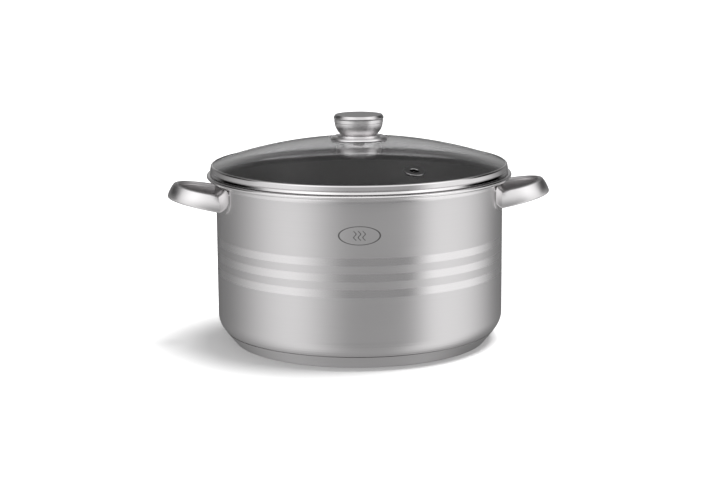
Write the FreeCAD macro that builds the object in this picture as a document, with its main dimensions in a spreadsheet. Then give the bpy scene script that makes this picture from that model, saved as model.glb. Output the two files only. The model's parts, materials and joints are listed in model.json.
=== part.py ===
"""Stock pot with a glass lid, as separate pieces in millimetres.

The frame is +Z up, with the origin on the ground under the middle of the pot. +X points
through the right handle. Driving sizes live in the sheet "Sizes"; every sketch, primitive
and pipe is bound to its cells.
"""
import FreeCAD, Part
import math
import os

import Sketcher
from FreeCAD import Placement, Rotation, Vector

# Driving sizes, in millimetres and degrees.
SIZES = {
    # drawn body
    "body_radius": 140.0,
    "wall": 0.8,
    "floor_height": 7.0,
    "bottom_round": 21.0,
    "flare_start": 158.0,
    "flare_round": 6.9,
    "curl_round": 1.9,
    # encapsulated base
    "cap_sheet": 0.6,
    "cap_flat_radius": 122.6,
    "cap_corner": 2.5,
    "cap_slope": 51.0,
    "cap_height": 12.2,
    "core_height": 11.4,
    # side handles and the saddles that they are welded to
    "saddle_sheet": 1.3,
    "saddle_half_width": 62.0,
    "saddle_bottom": 132.8,
    "saddle_top": 158.0,
    "saddle_corner": 15.0,
    "saddle_top_corner": 5.0,
    "loop_root": 137.0,
    "loop_height": 141.4,
    "loop_reach": 45.7,
    "loop_half_width": 34.8,
    "loop_run": 4.0,
    "loop_tilt": 11.0,
    "grip_half_thickness": 4.3,
    "grip_half_height": 8.0,
    "grip_lean": 3.3,
    "grip_crown": 2.4,
    "grip_round": 2.2,
    "grip_shoulder_round": 3.5,
    "grip_face_round": 30.0,
    "grip_sheet": 1.0,
    "grip_mouth": 4.4,
    # glass of the lid
    "dome_top": 198.6,
    "dome_round": 435.0,
    "glass": 4.0,
    "glass_radius": 143.4,
    "glass_hole": 5.2,
    # steel band around the glass
    "band_sheet": 0.7,
    "band_hem_radius": 142.6,
    "band_top": 175.0,
    "band_shoulder_radius": 142.8,
    "band_shoulder_round": 2.0,
    "band_lean": 10.0,
    "band_foot_round": 0.8,
    "band_seat_radius": 144.7,
    "hem_gap": 0.05,
    "glass_edge_gap": 0.2,
    "neck_radius": 143.8,
    "neck_foot_radius": 145.4,
    "neck_bottom": 166.1,
    "neck_round": 0.5,
    "ledge_radius": 141.6,
    "ledge_top": 169.98,
    "skirt_radius": 138.7,
    "skirt_bottom": 158.6,
    "skirt_round": 2.0,
    # steam vent
    "vent_distance": 119.4,
    "vent_angle": -67.9,
    "vent_hole": 5.8,
    "vent_bore": 4.2,
    "vent_flange": 10.2,
    "vent_sheet": 0.8,
    "vent_foot": 7.2,
    "vent_seat": 0.1,
    # knob, from the glass upwards
    "seat_radius": 24.0,
    "seat_top": 199.6,
    "flange_rim": 28.0,
    "flange_boss": 20.8,
    "flange_top": 202.2,
    "flange_step": 200.5,
    "flange_foot": 197.95,
    "flange_boss_round": 0.9,
    "flange_edge": 0.4,
    "flange_undercut": 1.2,
    "flange_undercut_height": 0.3,
    "flange_groove_width": 0.6,
    "flange_groove_depth": 0.35,
    "bowl_foot_radius": 16.8,
    "bowl_radius": 23.8,
    "bowl_top": 217.9,
    "bowl_round": 15.0,
    "bowl_sheet": 1.0,
    "bowl_groove": 214.2,
    "bowl_groove_depth": 0.35,
    "knob_top": 221.9,
    "knob_top_radius": 22.9,
    "knob_edge_radius": 24.5,
    "knob_edge_height": 219.3,
    "knob_edge_chamfer": 0.3,
    "knob_top_bevel": 0.15,
    "knob_top_drop": 0.2,
    "knob_top_round": 0.3,
    "knob_lid_sheet": 1.0,
    "knob_seam": 0.2,
    "spigot_depth": 2.5,
    "spigot_fit": 0.1,
    # knob fixing
    "boss_radius": 6.5,
    "boss_top": 215.0,
    "screw_radius": 2.95,
    "screw_clearance": 0.25,
    "screw_fit": 0.05,
    "screw_tip": 212.0,
    "screw_tip_room": 0.5,
    "screw_chamfer": 0.8,
    "screw_head_radius": 5.5,
    "screw_head_height": 3.0,
    "screw_head_round": 1.5,
    "screw_slot": 1.2,
    "screw_slot_length": 6.4,
    "screw_slot_depth": 1.6,
    "washer_radius": 9.0,
    "washer_sheet": 1.0,
    "washer_edge": 0.4,
    "gasket_sheet": 1.0,
    "sleeve_gap": 0.2,
}


class Length:
    """A number together with the sheet formula that gives it."""

    def __init__(self, value, formula):
        self.value = value
        self.formula = formula

    def combine(self, other, sign, value):
        return Length(value, f"({self.formula} {sign} {other.formula})")

    def __add__(self, other):
        other = as_length(other)
        return self.combine(other, "+", self.value + other.value)

    def __sub__(self, other):
        other = as_length(other)
        return self.combine(other, "-", self.value - other.value)

    def __mul__(self, other):
        other = as_length(other)
        return self.combine(other, "*", self.value * other.value)

    def __truediv__(self, other):
        other = as_length(other)
        return self.combine(other, "/", self.value / other.value)

    def __neg__(self):
        return as_length(0) - self


def as_length(number):
    return number if isinstance(number, Length) else Length(float(number), repr(float(number)))


def size(alias):
    return Length(SIZES[alias], f"Sizes.{alias}")


def root(square):
    return Length(math.sqrt(square.value), f"sqrt({square.formula})")


def sine(angle):
    return Length(math.sin(math.radians(angle.value)), f"sin({angle.formula})")


def cosine(angle):
    return Length(math.cos(math.radians(angle.value)), f"cos({angle.formula})")


doc = FreeCAD.newDocument("StockPot")
sheet = doc.addObject("Spreadsheet::Sheet", "Sizes")
for row, (alias, number) in enumerate(SIZES.items(), start=1):
    sheet.set(f"A{row}", alias)
    sheet.set(f"B{row}", str(number))
    sheet.setAlias(f"B{row}", alias)
doc.recompute()


# ---------------------------------------------------------------- drawing helpers

LEFT = 1
RIGHT = -1


def arc(radius, turn, long_way=False):
    """The next stretch of an outline is an arc that turns LEFT or RIGHT."""
    return (radius, turn, long_way)


def arc_geometry(start, end, bend):
    """The arc from start to end, and whether FreeCAD stores it end first."""
    radius, turn, long_way = bend
    chord = end - start
    half = chord.Length / 2
    side = Vector(-chord.y, chord.x, 0).normalize()
    height = math.sqrt(max(radius.value ** 2 - half ** 2, 0.0))
    centre = (start + end) / 2 + side * height * turn * (-1 if long_way else 1)
    first, last = (start, end) if turn == LEFT else (end, start)
    angles = [math.atan2(point.y - centre.y, point.x - centre.x) for point in (first, last)]
    if angles[1] < angles[0]:
        angles[1] += 2 * math.pi
    circle = Part.Circle(centre, Vector(0, 0, 1), radius.value)
    return Part.ArcOfCircle(circle, angles[0], angles[1]), turn == RIGHT


def bind(sketch, kind, *arguments, length):
    """Add one dimension to the sketch and tie it to the sheet."""
    index = sketch.addConstraint(Sketcher.Constraint(kind, *arguments, length.value))
    sketch.setExpression(f"Constraints[{index}]", length.formula)


def draw_outline(sketch, outline):
    """Draw a closed outline: corners are (x, y) or (x, y, arc), the arc leading to the next."""
    corners = [Vector(as_length(corner[0]).value, as_length(corner[1]).value, 0) for corner in outline]
    ends = []
    for index, corner in enumerate(outline):
        start = corners[index]
        end = corners[(index + 1) % len(corners)]
        if len(corner) == 2:
            edge = sketch.addGeometry(Part.LineSegment(start, end), False)
            ends.append((edge, 1, 2))
            continue
        shape, end_first = arc_geometry(start, end, corner[2])
        edge = sketch.addGeometry(shape, False)
        ends.append((edge, 2, 1) if end_first else (edge, 1, 2))
        bind(sketch, "Radius", edge, length=corner[2][0])
    for index, corner in enumerate(outline):
        edge, first, _ = ends[index]
        before, _, last = ends[index - 1]
        sketch.addConstraint(Sketcher.Constraint("Coincident", before, last, edge, first))
        for kind, axis, place in (("DistanceX", -2, corner[0]), ("DistanceY", -1, corner[1])):
            place = as_length(place)
            if place.value == 0:
                sketch.addConstraint(Sketcher.Constraint("PointOnObject", edge, first, axis))
            else:
                bind(sketch, kind, -1, 1, edge, first, length=place)


def new_body(label):
    body = doc.addObject("PartDesign::Body", label)
    body.Label = label
    return body


def new_sketch(body, role, name):
    sketch = body.newObject("Sketcher::SketchObject", name)
    plane = next(item for item in body.Origin.OriginFeatures if item.Role == role)
    sketch.AttachmentSupport = [(plane, "")]
    sketch.MapMode = "FlatFace"
    return sketch


def turned(label, outline):
    """A piece turned about the Z axis from an outline of (radius, height) corners."""
    body = new_body(label)
    sketch = new_sketch(body, "XZ_Plane", label + "_outline")
    draw_outline(sketch, outline)
    revolution = body.newObject("PartDesign::Revolution", label + "_turned")
    revolution.Profile = sketch
    revolution.ReferenceAxis = (sketch, ["V_Axis"])
    revolution.Angle = 360
    body.Tip = revolution
    return body


def cylinder(name, radius, height, base=None):
    """A construction cylinder along Z that stands at base."""
    tool = doc.addObject("Part::Cylinder", name)
    tool.setExpression("Radius", radius.formula)
    tool.setExpression("Height", height.formula)
    tool.Placement = base or Placement()
    return tool


def boolean(kind, label, base, tool):
    result = doc.addObject("Part::" + kind, label)
    result.Base = base
    result.Tool = tool
    result.Label = label
    return result


# ---------------------------------------------------------------- pot

def shell_outside(height):
    """Outer radius of the shell's bottom corner at a height."""
    corner = size("bottom_round")
    centre = size("body_radius") - corner
    below = size("floor_height") + corner - height
    return centre + root(corner * corner - below * below)


def pot_shell():
    """Drawn shell whose mouth flares outwards in a quarter turn and curls under."""
    radius, wall, floor = size("body_radius"), size("wall"), size("floor_height")
    corner, flare, curl = size("bottom_round"), size("flare_round"), size("curl_round")
    start = size("flare_start")
    lip = radius + flare
    curl_inside = curl - wall
    curl_height = start + flare - curl_inside
    return turned("pot_shell", [
        (0, floor),
        (radius - corner, floor, arc(corner, LEFT)),
        (radius, floor + corner),
        (radius, start, arc(flare, RIGHT)),
        (lip, start + flare, arc(curl_inside, RIGHT, long_way=True)),
        (lip - curl_inside, curl_height),
        (lip - curl, curl_height, arc(curl, LEFT, long_way=True)),
        (lip, start + flare + wall, arc(flare + wall, LEFT)),
        (radius - wall, start),
        (radius - wall, floor + corner, arc(corner - wall, RIGHT)),
        (radius - corner, floor + wall),
        (0, floor + wall),
    ])


def cap_side(height, sheet):
    """Radius at a height on the cap's cone, a sheet thickness in from its outside."""
    slope, corner = size("cap_slope"), size("cap_corner")
    start = size("cap_flat_radius") + corner * sine(slope)
    rise = height - corner * (as_length(1) - cosine(slope))
    return start + rise * cosine(slope) / sine(slope) - sheet / sine(slope)


def cap_corner_end(inset):
    """Where the cap's rounded foot runs into its cone, on a face that far inside."""
    slope, corner = size("cap_slope"), size("cap_corner")
    return (
        size("cap_flat_radius") + (corner - inset) * sine(slope),
        corner - (corner - inset) * cosine(slope),
    )


def base_cap():
    """Pressed cap under the pot: a flat disc, a rounded foot and a conical side."""
    flat, corner, sheet_metal = size("cap_flat_radius"), size("cap_corner"), size("cap_sheet")
    top = size("cap_height")
    outer_end = cap_corner_end(as_length(0))
    inner_end = cap_corner_end(sheet_metal)
    return turned("base_cap", [
        (0, 0),
        (flat, 0, arc(corner, LEFT)),
        outer_end,
        (cap_side(top, as_length(0)), top),
        (cap_side(top, sheet_metal), top),
        (inner_end[0], inner_end[1], arc(corner - sheet_metal, RIGHT)),
        (flat, sheet_metal),
        (0, sheet_metal),
    ])


def base_core_disc():
    """Aluminium that fills the cap up to the underside of the shell."""
    flat, corner, sheet_metal = size("cap_flat_radius"), size("cap_corner"), size("cap_sheet")
    top, floor = size("core_height"), size("floor_height")
    inner_end = cap_corner_end(sheet_metal)
    return turned("base_core_disc", [
        (0, sheet_metal),
        (flat, sheet_metal, arc(corner - sheet_metal, LEFT)),
        inner_end,
        (cap_side(top, sheet_metal), top),
        (shell_outside(top), top, arc(size("bottom_round"), RIGHT)),
        (size("body_radius") - size("bottom_round"), floor),
        (0, floor),
    ])


# ---------------------------------------------------------------- handles

def saddle(side, turn):
    """Plate rolled to the pot's wall, with rounded corners."""
    label = "handle_saddle_" + side
    half, corner, top_corner = size("saddle_half_width"), size("saddle_corner"), size("saddle_top_corner")
    bottom, top = size("saddle_bottom"), size("saddle_top")
    slab = new_body(label + "_slab")
    sketch = new_sketch(slab, "YZ_Plane", label + "_outline")
    draw_outline(sketch, [
        (-half + corner, bottom),
        (half - corner, bottom, arc(corner, LEFT)),
        (half, bottom + corner),
        (half, top - top_corner, arc(top_corner, LEFT)),
        (half - top_corner, top),
        (-half + top_corner, top, arc(top_corner, LEFT)),
        (-half, top - top_corner),
        (-half, bottom + corner, arc(corner, LEFT)),
    ])
    pad = slab.newObject("PartDesign::Pad", label + "_pad")
    pad.Profile = sketch
    pad.setExpression("Length", (size("body_radius") * 2).formula)
    slab.Tip = pad
    slab.Placement = Placement(Vector(), Rotation(Vector(0, 0, 1), turn))
    height = size("saddle_top") * 2
    outside = cylinder(label + "_outside", size("body_radius") + size("saddle_sheet"), height)
    inside = cylinder(label + "_inside", size("body_radius"), height)
    ring = boolean("Cut", label + "_ring", outside, inside)
    return boolean("Common", label, slab, ring)


def grip_side(inset):
    """Corners and bends of one face of the grip's sheet, from its upper lip round to its lower lip."""
    half, height = size("grip_half_thickness") - inset, size("grip_half_height") - inset
    corner, shoulder = size("grip_round") - inset, size("grip_shoulder_round") - inset
    face, mouth = size("grip_face_round") - inset, size("grip_mouth")
    middle = -size("loop_half_width")
    corners = [
        (middle + half, mouth),
        (middle + half, height - corner),
        (middle + half - corner, height),
        (middle - half + size("grip_lean"), height - size("grip_crown")),
        (middle - half, -height + corner),
        (middle - half + corner, -height),
        (middle + half - corner, -height),
        (middle + half, -height + corner),
        (middle + half, -mouth),
    ]
    return corners, [None, corner, shoulder, face, corner, None, corner, None]


def joined(corners, bends, turn):
    """Outline corners, each with the bend that leads to the next one."""
    return [
        (*corner, arc(bend, turn)) if bend else corner
        for corner, bend in zip(corners, bends + [None])
    ]


def grip_outline():
    """Section of the loop at its root: a channel open to the inside, with a crowned, leaning outer face."""
    corners, bends = grip_side(as_length(0))
    outside = joined(corners, bends, LEFT)
    corners, bends = grip_side(size("grip_sheet"))
    inside = joined(corners[::-1], bends[::-1], RIGHT)
    return outside + inside


def loop_path(path):
    """Centre line of the loop: a short straight run, half an ellipse and a run back."""
    reach, half, run = size("loop_reach"), size("loop_half_width"), size("loop_run")
    ellipse = Part.Ellipse(Vector(run.value, 0, 0), reach.value, half.value)
    bow = path.addGeometry(Part.ArcOfEllipse(ellipse, -math.pi / 2, math.pi / 2), False)
    path.exposeInternalGeometry(bow)
    long_axis = bow + 1
    bind(path, "DistanceX", -1, 1, bow, 3, length=run)
    path.addConstraint(Sketcher.Constraint("PointOnObject", bow, 3, -1))
    bind(path, "DistanceX", -1, 1, long_axis, 1, length=run + reach)
    path.addConstraint(Sketcher.Constraint("PointOnObject", long_axis, 1, -1))
    bind(path, "DistanceY", bow, 1, -1, 1, length=half)
    for side, end in ((-1, 1), (1, 2)):
        root_end, bow_end = Vector(0, side * half.value, 0), Vector(run.value, side * half.value, 0)
        straight = path.addGeometry(Part.LineSegment(root_end, bow_end), False)
        path.addConstraint(Sketcher.Constraint("Coincident", straight, 2, bow, end))
        path.addConstraint(Sketcher.Constraint("PointOnObject", straight, 1, -2))
        path.addConstraint(Sketcher.Constraint("Horizontal", straight))
        bind(path, "DistanceX", straight, 1, straight, 2, length=run)


def loop_handle(side, turn):
    """Loop of channel, tilted up and cut to the face of its saddle."""
    label = "handle_" + side
    body = new_body(label + "_loop")
    path = new_sketch(body, "XY_Plane", label + "_path")
    loop_path(path)
    profile = new_sketch(body, "YZ_Plane", label + "_section")
    draw_outline(profile, grip_outline())
    pipe = body.newObject("PartDesign::AdditivePipe", label + "_bent")
    pipe.Profile = profile
    pipe.Spine = (path, ["Edge2", "Edge1", "Edge3"])
    body.Tip = pipe
    doc.recompute()
    tilt = Rotation(Vector(0, 1, 0), -SIZES["loop_tilt"])
    spin = Rotation(Vector(0, 0, 1), turn)
    run = tilt.multVec(Vector(SIZES["loop_run"], 0, 0))
    base = Vector(SIZES["loop_root"], 0, SIZES["loop_height"]) - run
    body.Placement = Placement(spin.multVec(base), spin * tilt)
    face = size("body_radius") + size("saddle_sheet")
    return boolean("Cut", label, body, cylinder(label + "_root_cut", face, size("saddle_top") * 2))


# ---------------------------------------------------------------- lid

def dome(radius, inset=0):
    """Height of the glass at a distance from the middle, a thickness in from its outside."""
    ball = size("dome_round") - inset
    return size("dome_top") - size("dome_round") + root(ball * ball - radius * radius)


def vent_placement():
    """The steam vent stands square to the glass."""
    distance, ball = SIZES["vent_distance"], SIZES["dome_round"]
    lean = math.degrees(math.asin(distance / ball))
    spin = Rotation(Vector(0, 0, 1), SIZES["vent_angle"])
    base = spin.multVec(Vector(distance, 0, dome(size("vent_distance")).value))
    return Placement(base, spin * Rotation(Vector(0, 1, 0), lean))


def lid_glass():
    """Pressed glass, a shallow dome with a hole for the knob and one for the vent."""
    hole, edge, glass = size("glass_hole"), size("glass_radius"), size("glass")
    ball = size("dome_round")
    disc = turned("lid_glass_disc", [
        (hole, dome(hole), arc(ball, RIGHT)),
        (edge, dome(edge)),
        (edge, dome(edge, glass), arc(ball - glass, LEFT)),
        (hole, dome(hole, glass)),
    ])
    below = Placement(Vector(0, 0, -2 * SIZES["glass"]), Rotation())
    drill = cylinder("lid_glass_vent_hole", size("vent_hole"), glass * 4, vent_placement() * below)
    return boolean("Cut", "lid_glass", disc, drill)


def lid_rim_band():
    """Steel strip: hem over the glass, leaning face, neck widening to the lip, skirt inside the pot."""
    strip, lean = size("band_sheet"), size("band_lean")
    hem, top, shoulder = size("band_hem_radius"), size("band_top"), size("band_shoulder_radius")
    shoulder_round, foot_round = size("band_shoulder_round"), size("band_foot_round")
    neck, neck_foot = size("neck_radius"), size("neck_foot_radius")
    neck_bottom, neck_round = size("neck_bottom"), size("neck_round")
    ledge, seat = size("ledge_radius"), size("ledge_top")
    skirt, end, bend = size("skirt_radius"), size("skirt_bottom"), size("skirt_round")
    gap, inside = size("hem_gap"), size("glass_radius") + size("glass_edge_gap")
    foot = seat - strip
    face_top = shoulder + shoulder_round * cosine(lean)
    face_high = top - shoulder_round + shoulder_round * sine(lean)
    corner = face_top + (face_high - foot) * sine(lean) / cosine(lean)
    setback = foot_round * (as_length(1) + sine(lean)) / cosine(lean)
    return turned("lid_rim_band", [
        (hem, dome(hem, -gap)),
        (hem, top),
        (shoulder, top, arc(shoulder_round, RIGHT)),
        (face_top, face_high),
        (corner - setback * sine(lean), foot + setback * cosine(lean), arc(foot_round, RIGHT)),
        (corner - setback, foot),
        (neck, foot),
        (neck_foot, neck_bottom + neck_round, arc(neck_round, RIGHT)),
        (neck_foot - neck_round, neck_bottom),
        (skirt + bend, neck_bottom, arc(bend, LEFT)),
        (skirt, neck_bottom - bend),
        (skirt, end),
        (skirt - strip, end),
        (skirt - strip, neck_bottom - bend, arc(bend + strip, RIGHT)),
        (skirt + bend, neck_bottom + strip),
        (neck_foot - neck_round - strip / 2, neck_bottom + strip),
        (neck - strip, foot),
        (ledge, foot),
        (ledge, seat),
        (size("band_seat_radius"), seat),
        (inside, dome(inside, -gap), arc(size("dome_round") + gap, LEFT)),
    ])


def vent_grommet():
    """Eyelet pressed through the glass, with a rolled flange on top and a foot below."""
    bore, flange, foot = size("vent_bore"), size("vent_flange"), size("vent_foot")
    barrel, strip, glass = size("vent_hole") - size("sleeve_gap"), size("vent_sheet"), size("glass")
    lift = size("vent_seat")
    body = turned("steam_vent_grommet", [
        (bore, -glass - lift - strip),
        (foot, -glass - lift - strip),
        (foot, -glass - lift),
        (barrel, -glass - lift),
        (barrel, lift),
        (flange, lift),
        (flange, lift + strip / 2, arc(strip, LEFT)),
        (flange - strip, lift + strip),
        (bore + strip, lift + strip, arc(strip, LEFT)),
        (bore, lift),
    ])
    body.Placement = vent_placement()
    return body


# ---------------------------------------------------------------- knob

def knob_seat_gasket():
    """Ring between the glass and the knob's flange, dished to the glass."""
    hole, edge, top = size("glass_hole"), size("seat_radius"), size("seat_top")
    return turned("knob_seat_gasket", [
        (hole, dome(hole), arc(size("dome_round"), RIGHT)),
        (edge, dome(edge)),
        (edge, top),
        (hole, top),
    ])


def knob_flange():
    """Turned foot of the knob: a raised boss, a groove and a rounded rim."""
    bore = size("screw_radius") + size("screw_clearance")
    boss, rim = size("flange_boss"), size("flange_rim")
    top, step, foot, seat = size("flange_top"), size("flange_step"), size("flange_foot"), size("seat_top")
    inside, boss_round, edge = size("seat_radius"), size("flange_boss_round"), size("flange_edge")
    return turned("knob_flange", [
        (bore, seat),
        (inside, seat),
        (inside + size("flange_undercut"), foot + size("flange_undercut_height")),
        (rim - edge, foot),
        (rim, foot + edge, arc(rim - inside, LEFT)),
        (inside + size("flange_groove_width"), step + size("flange_groove_depth")),
        (inside, step),
        (boss, step),
        (boss, top - boss_round, arc(boss_round, LEFT)),
        (boss - boss_round, top),
        (bore, top),
    ])


def knob_bowl():
    """Hollow bowl that flares upwards from a flat foot, with a fine groove under its rim."""
    bore = size("screw_radius") + size("screw_clearance")
    foot, rim, sweep = size("bowl_foot_radius"), size("bowl_radius"), size("bowl_round")
    bottom, top, strip = size("flange_top"), size("bowl_top"), size("bowl_sheet")
    groove, depth = size("bowl_groove"), size("bowl_groove_depth")
    return turned("knob_bowl", [
        (bore, bottom),
        (foot, bottom, arc(sweep, LEFT)),
        (rim - depth, groove - depth),
        (rim - depth, groove),
        (rim, groove + depth),
        (rim, top),
        (rim - strip, top),
        (rim - strip, groove - depth, arc(sweep - strip, RIGHT)),
        (foot, bottom + strip),
        (bore, bottom + strip),
    ])


def knob_cap():
    """Lid of the bowl: a flat top, a bevelled edge and a spigot inside the bowl."""
    top, edge = size("knob_top"), size("knob_edge_height")
    seam, strip = size("bowl_top") + size("knob_seam"), size("knob_lid_sheet")
    spigot = size("bowl_radius") - size("bowl_sheet") - size("spigot_fit")
    end = seam - size("spigot_depth")
    flat, bevel, drop = size("knob_top_radius"), size("knob_top_bevel"), size("knob_top_drop")
    return turned("knob_cap", [
        (0, top - strip),
        (spigot - strip, top - strip),
        (spigot - strip, end),
        (spigot, end),
        (spigot, seam),
        (size("knob_edge_radius") - size("knob_edge_chamfer"), seam),
        (size("knob_edge_radius"), edge),
        (flat + bevel, top - drop, arc(size("knob_top_round"), LEFT)),
        (flat - bevel, top),
        (0, top),
    ])


def knob_boss():
    """Blind sleeve welded into the bowl, which takes the screw."""
    bore, outside = size("screw_radius") + size("screw_fit"), size("boss_radius")
    bottom, top = size("flange_top") + size("bowl_sheet"), size("boss_top")
    end = size("screw_tip") + size("screw_tip_room")
    return turned("knob_boss", [
        (bore, bottom),
        (outside, bottom),
        (outside, top),
        (0, top),
        (0, end),
        (bore, end),
    ])


def under_glass():
    """Height of the underside of the glass at the knob's hole."""
    return dome(size("glass_hole"), size("glass"))


def knob_lower_gasket():
    """Soft washer under the glass with a sleeve that keeps the screw off the hole."""
    inside = size("screw_radius") + size("screw_clearance")
    sleeve, outside = size("glass_hole") - size("sleeve_gap"), size("washer_radius")
    top = under_glass()
    bottom = top - size("gasket_sheet")
    return turned("knob_lower_gasket", [
        (inside, bottom),
        (outside, bottom),
        (outside, dome(outside, size("glass"))),
        (sleeve, dome(outside, size("glass"))),
        (sleeve, size("dome_top") - size("sleeve_gap")),
        (inside, size("dome_top") - size("sleeve_gap")),
    ])


def knob_washer():
    """Steel washer between the screw's head and the soft washer."""
    inside = size("screw_radius") + size("screw_clearance")
    top = under_glass() - size("gasket_sheet")
    bottom = top - size("washer_sheet")
    outside = size("washer_radius")
    edge = size("washer_edge")
    return turned("knob_washer", [
        (inside, bottom),
        (outside - edge, bottom, arc(edge, LEFT)),
        (outside, bottom + edge),
        (outside, top),
        (inside, top),
    ])


def knob_screw():
    """Pan-head screw up through the glass into the boss, with a cross recess."""
    shank, head = size("screw_radius"), size("screw_head_radius")
    seat = under_glass() - size("gasket_sheet") - size("washer_sheet")
    bottom = seat - size("screw_head_height")
    tip, chamfer, crown = size("screw_tip"), size("screw_chamfer"), size("screw_head_round")
    body = turned("knob_screw", [
        (0, bottom),
        (head - crown, bottom, arc(crown, LEFT)),
        (head, bottom + crown),
        (head, seat),
        (shank, seat),
        (shank, tip - chamfer),
        (shank - chamfer, tip),
        (0, tip),
    ])
    half_long, half_wide = size("screw_slot_length") / 2, size("screw_slot") / 2
    for name, wide, deep in (("long", half_long, half_wide), ("cross", half_wide, half_long)):
        sketch = new_sketch(body, "XY_Plane", f"knob_screw_{name}_slot")
        sketch.AttachmentOffset = Placement(Vector(0, 0, bottom.value), Rotation())
        draw_outline(sketch, [(-wide, -deep), (wide, -deep), (wide, deep), (-wide, deep)])
        slot = body.newObject("PartDesign::Pocket", f"knob_screw_{name}_recess")
        slot.Profile = sketch
        slot.setExpression("Length", size("screw_slot_depth").formula)
        slot.Reversed = True
        body.Tip = slot
        doc.recompute()
    return body


# ---------------------------------------------------------------- build and write

pieces = [
    pot_shell(), base_core_disc(), base_cap(),
    lid_glass(), lid_rim_band(), vent_grommet(),
    knob_seat_gasket(), knob_flange(), knob_bowl(), knob_cap(), knob_boss(),
    knob_lower_gasket(), knob_washer(), knob_screw(),
]
for side, turn in (("right", 0), ("left", 180)):
    pieces += [saddle(side, turn), loop_handle(side, turn)]
doc.recompute()

for item in doc.Objects:
    if "Invalid" in item.State or "Error" in item.State:
        raise RuntimeError(f"{item.Label} did not recompute: {item.State}")
for piece in pieces:
    shape = piece.Shape
    if shape.isNull() or not shape.isValid() or not shape.Solids:
        raise RuntimeError(f"{piece.Label} has no valid solid")

os.makedirs("parts", exist_ok=True)
for piece in pieces:
    piece.Shape.exportStep(f"parts/{piece.Label}.step")
    print(f"{piece.Label}: {piece.Shape.Volume / 1000:.2f} cm3, {len(piece.Shape.Solids)} solid")
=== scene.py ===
"""Looks of the stock pot: soft edges on the turned pieces, procedural steels and glass, a white studio."""
import json
import math

import bmesh
import bpy
from mathutils import Matrix, Vector


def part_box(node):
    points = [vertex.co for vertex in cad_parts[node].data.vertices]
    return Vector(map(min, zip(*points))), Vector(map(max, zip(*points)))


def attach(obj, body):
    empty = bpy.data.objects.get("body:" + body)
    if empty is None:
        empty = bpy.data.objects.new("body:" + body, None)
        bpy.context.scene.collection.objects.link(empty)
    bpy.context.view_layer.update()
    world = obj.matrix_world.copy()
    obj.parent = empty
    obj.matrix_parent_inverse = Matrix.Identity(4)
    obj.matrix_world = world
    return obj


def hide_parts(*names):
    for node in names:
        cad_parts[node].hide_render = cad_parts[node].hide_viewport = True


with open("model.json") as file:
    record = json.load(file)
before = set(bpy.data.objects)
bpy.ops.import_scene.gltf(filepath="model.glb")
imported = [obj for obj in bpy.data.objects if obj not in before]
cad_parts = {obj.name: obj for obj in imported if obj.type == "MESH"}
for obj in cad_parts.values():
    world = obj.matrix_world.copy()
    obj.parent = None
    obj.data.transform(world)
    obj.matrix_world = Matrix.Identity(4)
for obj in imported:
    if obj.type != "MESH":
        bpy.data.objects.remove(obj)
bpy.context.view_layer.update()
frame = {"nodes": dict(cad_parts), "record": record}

nodes = frame["nodes"]
record = frame["record"]
MM = 0.001

# ---------------------------------------------------------------- sizes, in metres and radians

SHELL_LOW, SHELL_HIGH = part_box("pot_shell")
WALL_THICKNESS = 0.8 * MM
BODY_RADIUS = 140 * MM
MIDDLE_OF_WALL = BODY_RADIUS - WALL_THICKNESS / 2
BOTTOM_CORNER_RADIUS = 21 * MM
FLARE_START = SHELL_HIGH.z - 7.7 * MM
RING_WIDTH = 7.3 * MM
RING_PITCH = 14.75 * MM
RING_MIDDLE = 88.4 * MM
GLASS_TOP_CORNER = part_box("lid_glass")[1]
GLASS_THICKNESS = 4 * MM
GLASS_HOLE_RADIUS = 5.2 * MM
VENT_HOLE_RADIUS = 5.8 * MM
DOME_RADIUS = 435 * MM
EMBLEM_MIDDLE = 128 * MM
EMBLEM_WIDTH = 38 * MM
EMBLEM_HEIGHT = 17 * MM
EMBLEM_LINE = 0.32 * MM
EMBLEM_AZIMUTH = math.radians(-93.1)
WISP_PITCH = 4.2 * MM
WISP_SWAY = 1.1 * MM
WISP_WAVES = 1000.0
WISP_REACH = 4 * MM

# Turned pieces that get a finer mesh, with how far their sharp edges are rounded.
EDGE_ROUNDS = {
    "pot_shell": 0.15 * MM, "base_cap": 0.25 * MM, "lid_rim_band": 0.2 * MM, "knob_flange": 0.25 * MM,
    "knob_bowl": 0.18 * MM, "knob_cap": 0.3 * MM, "lid_glass": 0.3 * MM, "knob_seat_gasket": 0.15 * MM,
}
SHARP_CORNER = math.radians(25)
SHARP_EDGE = math.radians(40)
CORNER_SHARE = 0.4
CORNER_STEPS = 4
WIDE_TURN_STEPS = 360
NARROW_TURN_STEPS = 160
SAME_PLACE = 0.001 * MM


# ---------------------------------------------------------------- turned pieces

def seam_outline(node):
    """The (radius, height) outline of a turned CAD piece, read along its seam in the XZ plane.

    A flat disc has no seam, so a seam with two loose ends is led on to the axis at both of them.
    """
    work = bmesh.new()
    work.from_mesh(nodes[node].data)
    bmesh.ops.remove_doubles(work, verts=work.verts, dist=SAME_PLACE)
    seam = {vert for vert in work.verts if abs(vert.co.y) < SAME_PLACE and vert.co.x > -SAME_PLACE}
    beside = {
        vert: [edge.other_vert(vert) for edge in vert.link_edges if edge.other_vert(vert) in seam]
        for vert in seam
    }
    ends = [vert for vert in seam if len(beside[vert]) == 1]
    vert = min(ends or seam, key=lambda item: (item.co.x, item.co.z))
    path = [vert]
    while len(path) < len(seam):
        vert = next((other for other in beside[vert] if other not in path), None)
        if vert is None:
            raise RuntimeError(f"the seam of {node} is broken after {len(path)} of {len(seam)} points")
        path.append(vert)
    outline = [Vector((max(item.co.x, 0.0), item.co.z)) for item in path]
    if ends:
        outline = [Vector((0, outline[0].y))] + outline + [Vector((0, outline[-1].y))]
    work.free()
    return outline


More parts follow.
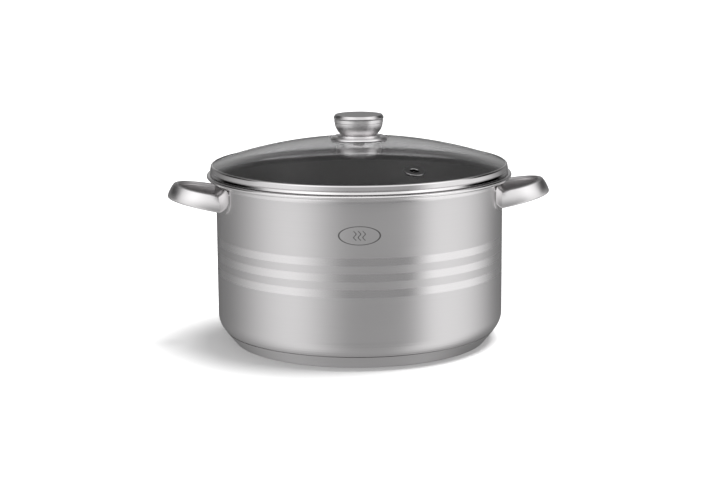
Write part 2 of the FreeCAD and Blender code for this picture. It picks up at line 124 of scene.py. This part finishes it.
def dome_outline(step=2 * MM):
    """The outline of the domed glass, from its hole to its edge along the top and back below."""
    middle = GLASS_TOP_CORNER.z - math.sqrt(DOME_RADIUS ** 2 - GLASS_HOLE_RADIUS ** 2)
    under = DOME_RADIUS - GLASS_THICKNESS
    width = GLASS_TOP_CORNER.x - GLASS_HOLE_RADIUS
    count = round(width / step)
    radii = [GLASS_HOLE_RADIUS + width * number / count for number in range(count + 1)]
    above = [Vector((radius, middle + math.sqrt(DOME_RADIUS ** 2 - radius ** 2))) for radius in radii]
    below = [Vector((radius, middle + math.sqrt(under ** 2 - radius ** 2))) for radius in radii]
    return above + below[::-1]


def softened(outline, rounding):
    """Round the outline's sharp corners, and hold its straight runs straight with a point near each end."""
    points = []
    for index, corner in enumerate(outline):
        before = outline[index - 1] - corner
        after = outline[(index + 1) % len(outline)] - corner
        reach = min(rounding, before.length * CORNER_SHARE, after.length * CORNER_SHARE)
        if corner.x < rounding or math.pi - before.angle(after) < SHARP_CORNER:
            points.append(corner)
            continue
        first = corner + before.normalized() * reach
        last = corner + after.normalized() * reach
        for step in range(CORNER_STEPS + 1):
            share = step / CORNER_STEPS
            points.append(first.lerp(corner, share).lerp(corner.lerp(last, share), share))
    held = []
    for index, point in enumerate(points):
        ahead = points[(index + 1) % len(points)] - point
        held.append(point)
        if ahead.length > 6 * rounding:
            held.append(point + ahead.normalized() * rounding)
            held.append(point + ahead - ahead.normalized() * rounding)
    return held


def lathe(name, outline):
    """A smooth mesh turned about Z from a closed (radius, height) outline."""
    work = bmesh.new()
    wide = max(point.x for point in outline) > BODY_RADIUS / 2
    steps = WIDE_TURN_STEPS if wide else NARROW_TURN_STEPS
    rings = []
    for step in range(steps):
        angle = 2 * math.pi * step / steps
        across = Vector((math.cos(angle), math.sin(angle), 0))
        rings.append([work.verts.new(across * point.x + Vector((0, 0, point.y))) for point in outline])
    for ring, following in zip(rings, rings[1:] + rings[:1]):
        for index in range(len(outline)):
            other = (index + 1) % len(outline)
            work.faces.new((ring[index], following[index], following[other], ring[other]))
    bmesh.ops.remove_doubles(work, verts=work.verts, dist=1e-7)
    bmesh.ops.recalc_face_normals(work, faces=work.faces)
    return finished(name, work)


def smoothed(mesh):
    """Shade a mesh smooth except at its real edges."""
    mesh.shade_smooth()
    mesh.set_sharp_from_angle(angle=SHARP_EDGE)


def finished(name, work):
    """Turn a bmesh into an object."""
    mesh = bpy.data.meshes.new(name)
    work.to_mesh(mesh)
    work.free()
    smoothed(mesh)
    piece = bpy.data.objects.new(name, mesh)
    bpy.context.scene.collection.objects.link(piece)
    return piece


def body_of(node):
    """The moving or fixed body that a CAD node belongs to."""
    return next(name for name, members in record["behaviour"]["bodies"].items() if node in members)


def stands_for(piece, node, material):
    """Put a piece in the place of one CAD node, on the same body and in the same finish."""
    piece.data.materials.clear()
    piece.data.materials.append(material)
    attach(piece, body_of(node))
    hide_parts(node)


def drill_for(piece, eyelet):
    """Cut the hole for an eyelet that stands square to the dome."""
    low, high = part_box(eyelet)
    middle = (low + high) / 2
    lean = math.asin(Vector((middle.x, middle.y)).length / DOME_RADIUS)
    tilt = Matrix.Rotation(lean, 4, Vector((-middle.y, middle.x, 0)))
    work = bmesh.new()
    bmesh.ops.create_cone(
        work, cap_ends=True, segments=96, radius1=VENT_HOLE_RADIUS, radius2=VENT_HOLE_RADIUS,
        depth=GLASS_THICKNESS * 5, matrix=Matrix.Translation(middle) @ tilt,
    )
    drill = finished("drill", work)
    cut = piece.modifiers.new("vent_hole", "BOOLEAN")
    cut.object = drill
    cut.solver = "EXACT"
    evaluated = piece.evaluated_get(bpy.context.evaluated_depsgraph_get())
    drilled = bpy.data.meshes.new_from_object(evaluated)
    piece.modifiers.clear()
    piece.data = drilled
    smoothed(drilled)
    bpy.data.objects.remove(drill)


# ---------------------------------------------------------------- material helpers

class Graph:
    """Short names for the shader nodes that the materials and the world are built from."""

    def __init__(self, tree):
        self.tree = tree
        tree.nodes.clear()

    def add(self, kind, **settings):
        node = self.tree.nodes.new(kind)
        for key, value in settings.items():
            setattr(node, key, value)
        return node

    def link(self, source, socket):
        """Feed a socket from another socket, or set it to a number."""
        if isinstance(source, (int, float)):
            socket.default_value = source
        else:
            self.tree.links.new(source, socket)

    def math(self, operation, *values):
        node = self.add("ShaderNodeMath", operation=operation)
        for value, socket in zip(values, node.inputs):
            self.link(value, socket)
        return node.outputs[0]

    def product(self, *values):
        result = values[0]
        for value in values[1:]:
            result = self.math("MULTIPLY", result, value)
        return result

    def total(self, *values):
        result = values[0]
        for value in values[1:]:
            result = self.math("ADD", result, value)
        return result

    def ramp(self, value, low, high, out_low=0.0, out_high=1.0):
        """A smooth step from out_low to out_high as value goes from low to high."""
        node = self.add("ShaderNodeMapRange", interpolation_type="SMOOTHSTEP")
        self.link(value, node.inputs["Value"])
        bounds = (low, high, out_low, out_high)
        for socket, number in zip(("From Min", "From Max", "To Min", "To Max"), bounds):
            self.link(number, node.inputs[socket])
        return node.outputs[0]

    def hump(self, value, start, full, fall, end, top=1.0):
        """Rises smoothly to top from start to full, and sinks back to 0 from fall to end."""
        return self.product(self.ramp(value, start, full, 0.0, top), self.ramp(value, fall, end, 1.0, 0.0))

    def between(self, factor, low, high):
        """A mix that is low where factor is 0 and high where it is 1."""
        node = self.add("ShaderNodeMix", data_type="FLOAT")
        for value, socket in zip((factor, low, high), ("Factor", "A", "B")):
            self.link(value, node.inputs[socket])
        return node.outputs["Result"]

    def place(self):
        """X, Y and Z of the point on the object, in metres."""
        coordinates = self.add("ShaderNodeTexCoord")
        parts = self.add("ShaderNodeSeparateXYZ")
        self.link(coordinates.outputs["Object"], parts.inputs[0])
        return parts.outputs

    def length(self, x, y):
        return self.math("SQRT", self.total(self.product(x, x), self.product(y, y)))

    def vector(self, x, y, z):
        node = self.add("ShaderNodeCombineXYZ")
        for value, socket in zip((x, y, z), node.inputs):
            self.link(value, socket)
        return node.outputs[0]

    def noise(self, vector, scale, detail):
        node = self.add("ShaderNodeTexNoise")
        self.link(vector, node.inputs["Vector"])
        node.inputs["Scale"].default_value = scale
        node.inputs["Detail"].default_value = detail
        return node.outputs["Fac"]

    def grain(self, scale, detail):
        """Noise that is fixed to the object."""
        return self.noise(self.vector(*self.place()), scale, detail)

    def bump(self, height, strength, distance):
        node = self.add("ShaderNodeBump")
        self.link(height, node.inputs["Height"])
        node.inputs["Strength"].default_value = strength
        node.inputs["Distance"].default_value = distance
        return node.outputs[0]

    def grey(self, factor, dark, light):
        """A nearly neutral grey, with a trace of pink, between two levels."""
        node = self.add("ShaderNodeMix", data_type="RGBA")
        self.link(factor, node.inputs["Factor"])
        for level, socket in ((dark, "A"), (light, "B")):
            node.inputs[socket].default_value = (level, level * 0.982, level * 0.988, 1)
        return node.outputs["Result"]


def new_material(name):
    """A material with one principled shader, and the graph to build its inputs with."""
    material = bpy.data.materials.new(name)
    material.use_nodes = True
    graph = Graph(material.node_tree)
    shader = graph.add("ShaderNodeBsdfPrincipled")
    output = graph.add("ShaderNodeOutputMaterial")
    graph.link(shader.outputs[0], output.inputs[0])
    return material, graph, shader


def brushed_around(graph, shader, anisotropic):
    """Stretch highlights along the axis, across marks that run around it."""
    shader.inputs["Anisotropic"].default_value = anisotropic
    shader.inputs["Anisotropic Rotation"].default_value = 0.25
    tangent = graph.add("ShaderNodeTangent", direction_type="RADIAL", axis="Z")
    graph.link(tangent.outputs[0], shader.inputs["Tangent"])


def hairlines(graph, fineness):
    """Fine marks that run around the axis and fade in and out along their length."""
    x, y, z = graph.place()
    fade = 9.0
    drift = graph.product(x, fade)
    across = graph.total(graph.product(graph.length(x, y), fineness), drift)
    down = graph.total(graph.product(z, fineness), graph.product(y, fade))
    return graph.noise(graph.vector(across, down, drift), 1.0, 3.0)


# ---------------------------------------------------------------- materials

def turned_steel(name, roughness, spread, fineness, depth, dark, light, anisotropic=0.0):
    """Steel with fine marks around its axis: satin when rough, nearly a mirror when smooth.

    The fineness is the scale of the marks per metre, and dark and light are the limits of the grey.
    """
    material, graph, shader = new_material(name)
    lines = hairlines(graph, fineness)
    uneven = graph.total(lines, graph.grain(14.0, 4.0))
    rough = graph.ramp(uneven, 0.6, 1.4, roughness - spread, roughness + spread)
    shader.inputs["Metallic"].default_value = 1.0
    brushed_around(graph, shader, anisotropic)
    graph.link(graph.grey(graph.product(uneven, 0.5), dark, light), shader.inputs["Base Color"])
    graph.link(rough, shader.inputs["Roughness"])
    graph.link(graph.bump(lines, 0.3, depth), shader.inputs["Normal"])
    return material


def distance_between(graph, value, other):
    """How far one value is from another, whichever is larger."""
    return graph.math("ABSOLUTE", graph.math("SUBTRACT", value, other))


def polished_rings(graph, height, radius):
    """Mask of the three polished rings on the outside of the wall, and of the polished mouth."""
    edge = 0.5 * MM
    mask = graph.ramp(height, FLARE_START - 1.5 * MM, FLARE_START)
    for number in (-1, 0, 1):
        off = distance_between(graph, height, RING_MIDDLE + number * RING_PITCH)
        ring = graph.ramp(off, RING_WIDTH / 2 - edge, RING_WIDTH / 2 + edge, 1.0, 0.0)
        mask = graph.math("MAXIMUM", mask, ring)
    return graph.product(mask, graph.math("GREATER_THAN", radius, MIDDLE_OF_WALL))


def emblem(graph, x, y, z):
    """Mask of a small generic etching at the front: three wavy wisps of steam in an oval line."""
    azimuth = graph.math("ARCTAN2", y, x)
    across = graph.product(graph.math("SUBTRACT", azimuth, EMBLEM_AZIMUTH), BODY_RADIUS)
    up = graph.math("SUBTRACT", z, EMBLEM_MIDDLE)
    wide = graph.math("DIVIDE", across, EMBLEM_WIDTH / 2)
    high = graph.math("DIVIDE", up, EMBLEM_HEIGHT / 2)
    off = graph.product(distance_between(graph, graph.length(wide, high), 1.0), EMBLEM_HEIGHT / 2)
    mark = graph.ramp(off, EMBLEM_LINE * 0.6, EMBLEM_LINE * 1.4, 1.0, 0.0)
    sway = graph.product(graph.math("SINE", graph.product(up, WISP_WAVES)), WISP_SWAY)
    tall = graph.ramp(graph.math("ABSOLUTE", up), WISP_REACH, WISP_REACH + 0.8 * MM, 1.0, 0.0)
    for number in (-1, 0, 1):
        off = distance_between(graph, graph.math("SUBTRACT", across, number * WISP_PITCH), sway)
        wisp = graph.ramp(off, EMBLEM_LINE, EMBLEM_LINE * 1.9, 1.0, 0.0)
        mark = graph.math("MAXIMUM", mark, graph.product(wisp, tall))
    return graph.product(mark, graph.math("GREATER_THAN", graph.length(x, y), MIDDLE_OF_WALL))


def inside_of_shell(graph, height, radius):
    """Mask of the inside of the shell: its wall, its rounded corner and its floor, where the wall steel
    gets its own roughness and painted shade.
    """
    out = graph.math("MAXIMUM", graph.math("SUBTRACT", radius, BODY_RADIUS - BOTTOM_CORNER_RADIUS), 0.0)
    down = graph.math("MAXIMUM", graph.math("SUBTRACT", SHELL_LOW.z + BOTTOM_CORNER_RADIUS, height), 0.0)
    return graph.math("LESS_THAN", graph.length(out, down), BOTTOM_CORNER_RADIUS - WALL_THICKNESS / 2)


def wall_steel():
    """Satin wall brushed around the pot, with polished rings, a polished mouth, an etched emblem, and
    painted shade on the inside.
    """
    material, graph, shader = new_material("satin_wall_steel")
    x, y, z = graph.place()
    radius = graph.length(x, y)
    lines = hairlines(graph, 2600.0)
    uneven = graph.total(lines, graph.noise(graph.vector(x, y, z), 11.0, 4.0))
    rings = polished_rings(graph, z, radius)
    mark = emblem(graph, x, y, z)
    inside = inside_of_shell(graph, z, radius)

    inside_rough, etched_rough = 0.34, 0.6
    satin = graph.between(inside, graph.ramp(uneven, 0.6, 1.4, 0.35, 0.40), inside_rough)
    polished = graph.ramp(uneven, 0.6, 1.4, 0.19, 0.23)
    rough = graph.between(mark, graph.between(rings, satin, polished), etched_rough)
    graph.link(rough, shader.inputs["Roughness"])

    # The inside of the shell is painted darker than the outside, grey 0.50 against 0.63 to 0.69, as painted
    # shade for the light that the lid and the wall keep out.
    ring_grey, inside_shade_grey, etched_grey = 0.78, 0.50, 0.16
    level = graph.between(rings, graph.ramp(uneven, 0.0, 2.0, 0.63, 0.69), ring_grey)
    level = graph.between(mark, graph.between(inside, level, inside_shade_grey), etched_grey)
    graph.link(graph.grey(level, 0.0, 1.0), shader.inputs["Base Color"])

    shader.inputs["Metallic"].default_value = 1.0
    brushed_around(graph, shader, 0.6)
    depth = graph.product(lines, graph.math("SUBTRACT", 1.0, rings))
    graph.link(graph.bump(depth, 0.12, 0.01 * MM), shader.inputs["Normal"])
    return material


def clear_glass():
    """Tempered glass, slightly grey, with a faint smear in its gloss."""
    material, graph, shader = new_material("tempered_glass")
    shader.inputs["Base Color"].default_value = (0.78, 0.78, 0.785, 1)
    shader.inputs["Transmission Weight"].default_value = 1.0
    shader.inputs["IOR"].default_value = 1.5
    smear = graph.grain(30.0, 3.0)
    graph.link(graph.ramp(smear, 0.35, 0.75, 0.005, 0.03), shader.inputs["Roughness"])
    return material


def silicone():
    """Black rubber with a fine matt grain."""
    material, graph, shader = new_material("black_silicone")
    grain = graph.grain(900.0, 3.0)
    graph.link(graph.grey(grain, 0.012, 0.035), shader.inputs["Base Color"])
    graph.link(graph.ramp(grain, 0.3, 0.7, 0.5, 0.65), shader.inputs["Roughness"])
    graph.link(graph.bump(grain, 0.2, 0.05 * MM), shader.inputs["Normal"])
    return material


def soft_aluminium():
    """Plain pressed aluminium with a matt grain."""
    material, graph, shader = new_material("pressed_aluminium")
    grain = graph.grain(1400.0, 4.0)
    shader.inputs["Metallic"].default_value = 1.0
    graph.link(graph.grey(grain, 0.72, 0.82), shader.inputs["Base Color"])
    graph.link(graph.ramp(grain, 0.3, 0.7, 0.35, 0.5), shader.inputs["Roughness"])
    graph.link(graph.bump(grain, 0.15, 0.03 * MM), shader.inputs["Normal"])
    return material


WALL_STEEL = wall_steel()
BASE_STEEL = turned_steel(
    "turned_base_steel", roughness=0.34, spread=0.04, fineness=3200.0, depth=0.01 * MM,
    dark=0.60, light=0.67, anisotropic=0.4,
)
MIRROR_STEEL = turned_steel(
    "polished_steel", roughness=0.10, spread=0.03, fineness=1500.0, depth=0.001 * MM,
    dark=0.68, light=0.74,
)
# The knob's flange and bowl are painted lighter than the other steel, grey 0.80 to 0.88, as a painted
# highlight for the bright middle of the bowl.
KNOB_STEEL_PAINTED_BRIGHT = turned_steel(
    "brushed_knob_painted_highlight_steel", roughness=0.32, spread=0.06, fineness=3400.0, depth=0.008 * MM,
    dark=0.80, light=0.88, anisotropic=0.75,
)
CAP_STEEL = turned_steel(
    "brushed_cap_steel", roughness=0.30, spread=0.04, fineness=3400.0, depth=0.003 * MM,
    dark=0.60, light=0.66,
)
HANDLE_STEEL = turned_steel(
    "buffed_handle_steel", roughness=0.32, spread=0.02, fineness=300.0, depth=0.001 * MM,
    dark=0.70, light=0.76,
)
# The vent eyelet's steel is painted dark, grey 0.34 to 0.40, as painted shade that keeps the eyelet dim
# against the glass.
VENT_STEEL_PAINTED_DARK = turned_steel(
    "vent_steel_painted_shade", roughness=0.20, spread=0.04, fineness=2400.0, depth=0.001 * MM,
    dark=0.34, light=0.40,
)
FIXING_STEEL = turned_steel(
    "plain_fixing_steel", roughness=0.32, spread=0.06, fineness=2400.0, depth=0.02 * MM,
    dark=0.52, light=0.60,
)
CLEAR_GLASS = clear_glass()
SILICONE = silicone()
ALUMINIUM = soft_aluminium()

BY_SLOT = {
    "satin_steel": WALL_STEEL, "base_steel": BASE_STEEL, "polished_steel": MIRROR_STEEL,
    "aluminium": ALUMINIUM, "glass": CLEAR_GLASS, "silicone": SILICONE, "fixing_steel": FIXING_STEEL,
}
BY_NODE = {
    "knob_flange": KNOB_STEEL_PAINTED_BRIGHT, "knob_bowl": KNOB_STEEL_PAINTED_BRIGHT, "knob_cap": CAP_STEEL,
    "handle_right": HANDLE_STEEL, "handle_left": HANDLE_STEEL, "steam_vent_grommet": VENT_STEEL_PAINTED_DARK,
}


# ---------------------------------------------------------------- the pot

for part in record["subparts"]:
    node = part["node"]
    material = BY_NODE.get(node, BY_SLOT[part["material_slot"]])
    nodes[node].data.materials.clear()
    nodes[node].data.materials.append(material)
    if node in EDGE_ROUNDS:
        outline = dome_outline() if node == "lid_glass" else seam_outline(node)
        piece = lathe(node + "_fine", softened(outline, EDGE_ROUNDS[node]))
        if node == "lid_glass":
            drill_for(piece, "steam_vent_grommet")
        stands_for(piece, node, material)


# ---------------------------------------------------------------- studio

def studio_floor():
    """A plain white floor, wide enough to reach past every view."""
    work = bmesh.new()
    bmesh.ops.create_circle(work, cap_ends=True, segments=96, radius=60)
    floor = finished("studio_floor", work)
    material, graph, shader = new_material("white_floor")
    shader.inputs["Base Color"].default_value = (0.92, 0.92, 0.92, 1)
    shader.inputs["Roughness"].default_value = 0.9
    shader.inputs["Specular IOR Level"].default_value = 0.0
    floor.data.materials.append(material)
    floor.visible_glossy = False
    floor.visible_shadow = False


def studio_light(graph, azimuth, height):
    """What the steel mirrors, by direction: azimuth from the front, positive to the right, and height.

    Two tall soft boxes stand left and right of the camera. The walls and the ground are grey, and the
    ceiling is pale at the front. A dark flag hangs low at each side, a pale strip lies on the horizon
    behind the pot, and the ground is shaded at the back right. All angles are in degrees.
    """
    off_front = graph.math("ABSOLUTE", azimuth)
    left = graph.hump(azimuth, -145, -62, -60, -8, 0.85)
    right = graph.hump(azimuth, 34, 60, 90, 142, 0.95)
    boxes = graph.product(graph.total(left, right), graph.hump(height, -75, -50, 50, 70))

    sides = graph.ramp(off_front, 60, 120, 0.37, 0.30)
    walls = graph.product(sides, graph.ramp(off_front, 145, 170, 1.0, 0.5))
    straight_down = 0.33
    walls = graph.between(graph.ramp(height, -85, -45), straight_down, walls)
    ground = graph.ramp(height, -60, -12, 0.20, 0.0)

    front = graph.ramp(off_front, 75, 105, 1.0, 0.0)
    front = graph.product(graph.ramp(off_front, 40, 80, 1.0, 0.35), front)
    ceiling = graph.product(front, graph.ramp(height, 2, 30))

    corner = graph.hump(azimuth, 95, 130, 160, 178)
    shade = graph.product(corner, graph.hump(height, -80, -60, -35, -15, 0.5))
    flags = graph.product(graph.ramp(off_front, 84, 100), graph.ramp(off_front, 132, 150, 1.0, 0.2))
    flags = graph.product(flags, graph.hump(height, 2, 12, 28, 42))
    horizon = graph.product(graph.ramp(off_front, 150, 172), graph.hump(height, -2, 8, 10, 22, 0.40))

    room = graph.total(walls, boxes, ceiling, ground)
    for dark in (shade, flags):
        room = graph.product(room, graph.math("SUBTRACT", 1.0, dark))
    return graph.total(room, horizon)


def studio_world():
    """White behind the pot and behind its glass, even light on matt surfaces, the studio in reflections."""
    backdrop, even_light = 1.05, 0.78
    world = bpy.data.worlds.new("studio")
    world.use_nodes = True
    bpy.context.scene.world = world
    graph = Graph(world.node_tree)
    direction = graph.add("ShaderNodeTexCoord").outputs["Generated"]
    parts = graph.add("ShaderNodeSeparateXYZ")
    graph.link(direction, parts.inputs[0])
    x, y, z = parts.outputs
    azimuth = graph.math("DEGREES", graph.math("ARCTAN2", x, graph.product(y, -1.0)))
    height = graph.math("DEGREES", graph.math("ARCSINE", z))
    light = studio_light(graph, azimuth, height)
    path = graph.add("ShaderNodeLightPath").outputs
    unreflected = graph.math("LESS_THAN", path["Glossy Depth"], 0.5)
    through_glass = graph.product(path["Is Transmission Ray"], unreflected)
    seen = graph.math("MAXIMUM", path["Is Camera Ray"], through_glass)
    lit = graph.between(path["Is Diffuse Ray"], light, even_light)
    background = graph.add("ShaderNodeBackground")
    graph.link(graph.between(seen, lit, backdrop), background.inputs["Strength"])
    output = graph.add("ShaderNodeOutputWorld")
    graph.link(background.outputs[0], output.inputs[0])


def key_light():
    """One very large soft lamp from above, a little from the right, for the shadow to the left."""
    shines_along = Vector((-0.28, -0.08, -1.0))
    lamp = bpy.data.lights.new("key", "SUN")
    lamp.energy = 3.6
    lamp.angle = math.radians(32)
    key = bpy.data.objects.new("key", lamp)
    key.rotation_euler = shines_along.to_track_quat("-Z", "Y").to_euler()
    key.visible_glossy = False
    key.visible_transmission = False
    bpy.context.scene.collection.objects.link(key)


def camera():
    """Long lens, 11 degrees above the level and 3 degrees to the left of the front."""
    azimuth = math.radians(3.08)
    elevation = math.radians(11.065)
    roll = math.radians(-0.424)
    distance = 1.80303
    target = Vector((0, 0, 92.4 * MM))
    data = bpy.data.cameras.new("camera")
    data.lens = 91.36
    data.sensor_width = 36
    data.shift_x = 0.00055
    data.shift_y = 0.00667
    data.clip_end = 200
    view = bpy.data.objects.new("camera", data)
    back = Vector((
        -math.cos(elevation) * math.sin(azimuth),
        -math.cos(elevation) * math.cos(azimuth),
        math.sin(elevation),
    ))
    view.location = target + back * distance
    aim = (-back).to_track_quat("-Z", "Y")
    view.rotation_euler = (aim.to_matrix() @ Matrix.Rotation(roll, 3, "Z")).to_euler()
    bpy.context.scene.collection.objects.link(view)
    bpy.context.scene.camera = view


studio_floor()
studio_world()
key_light()
camera()
bpy.context.scene.view_settings.view_transform = "Standard"
